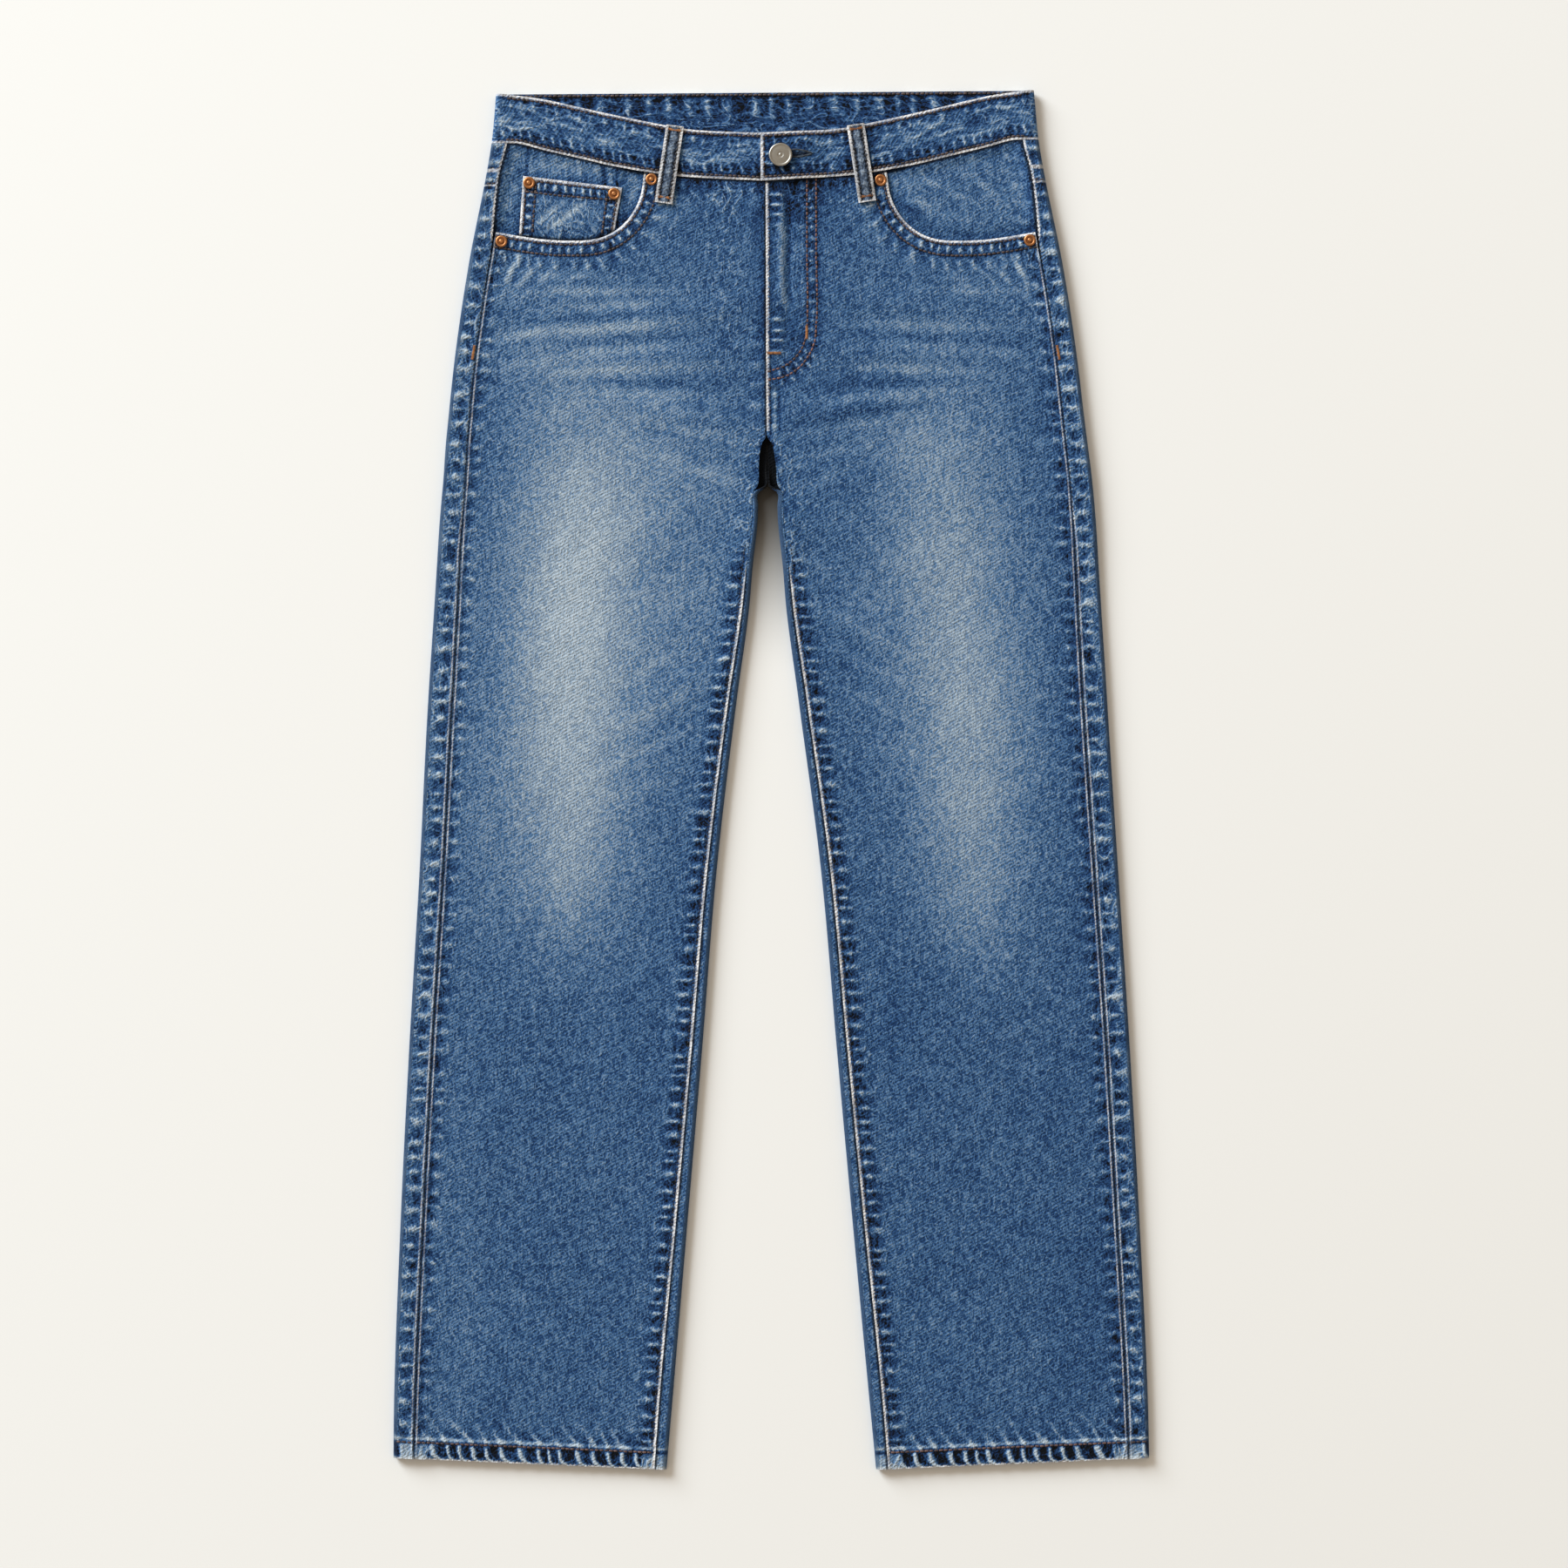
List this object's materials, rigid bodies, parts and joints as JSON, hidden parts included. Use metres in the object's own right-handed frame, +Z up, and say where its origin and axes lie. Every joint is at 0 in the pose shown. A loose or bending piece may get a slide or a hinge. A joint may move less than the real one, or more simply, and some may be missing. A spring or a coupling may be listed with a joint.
{
  "type": "straight leg jeans laid flat",
  "caption": "Straight leg denim jeans laid flat with the front up, resting on their own flat underside.",
  "frame": {"origin": "middle of the outline's bounding box, on the surface that the jeans lie on", "axes": "+X towards the wearer's left leg, +Y from the hems to the waist, +Z up from the surface, front of the garment up"},
  "size_m": [0.5731, 1.0455, 0.0133],
  "materials": {
    "denim": "washed indigo twill, matte",
    "facing_denim": "washed indigo twill, matte",
    "button_metal": "antique nickel plate, satin",
    "rivet_metal": "copper plate, satin"
  },
  "bodies": {
    "root": {"front_panel_right": "denim", "front_panel_left": "denim", "back_panel_right": "denim", "back_panel_left": "denim", "back_yoke_right": "denim", "back_yoke_left": "denim", "waistband": "denim", "pocket_facing_right": "facing_denim", "pocket_facing_left": "facing_denim", "coin_pocket": "denim", "belt_loop_front_right": "denim", "belt_loop_front_left": "denim", "belt_loop_back_right": "denim", "belt_loop_back_centre": "denim", "belt_loop_back_left": "denim", "back_pocket_right": "denim", "back_pocket_left": "denim", "button": "button_metal", "rivet_right_mouth_top": "rivet_metal", "rivet_right_mouth_side": "rivet_metal", "rivet_coin_outer": "rivet_metal", "rivet_coin_inner": "rivet_metal", "rivet_left_mouth_top": "rivet_metal", "rivet_left_mouth_side": "rivet_metal"}
  },
  "joints": []
}
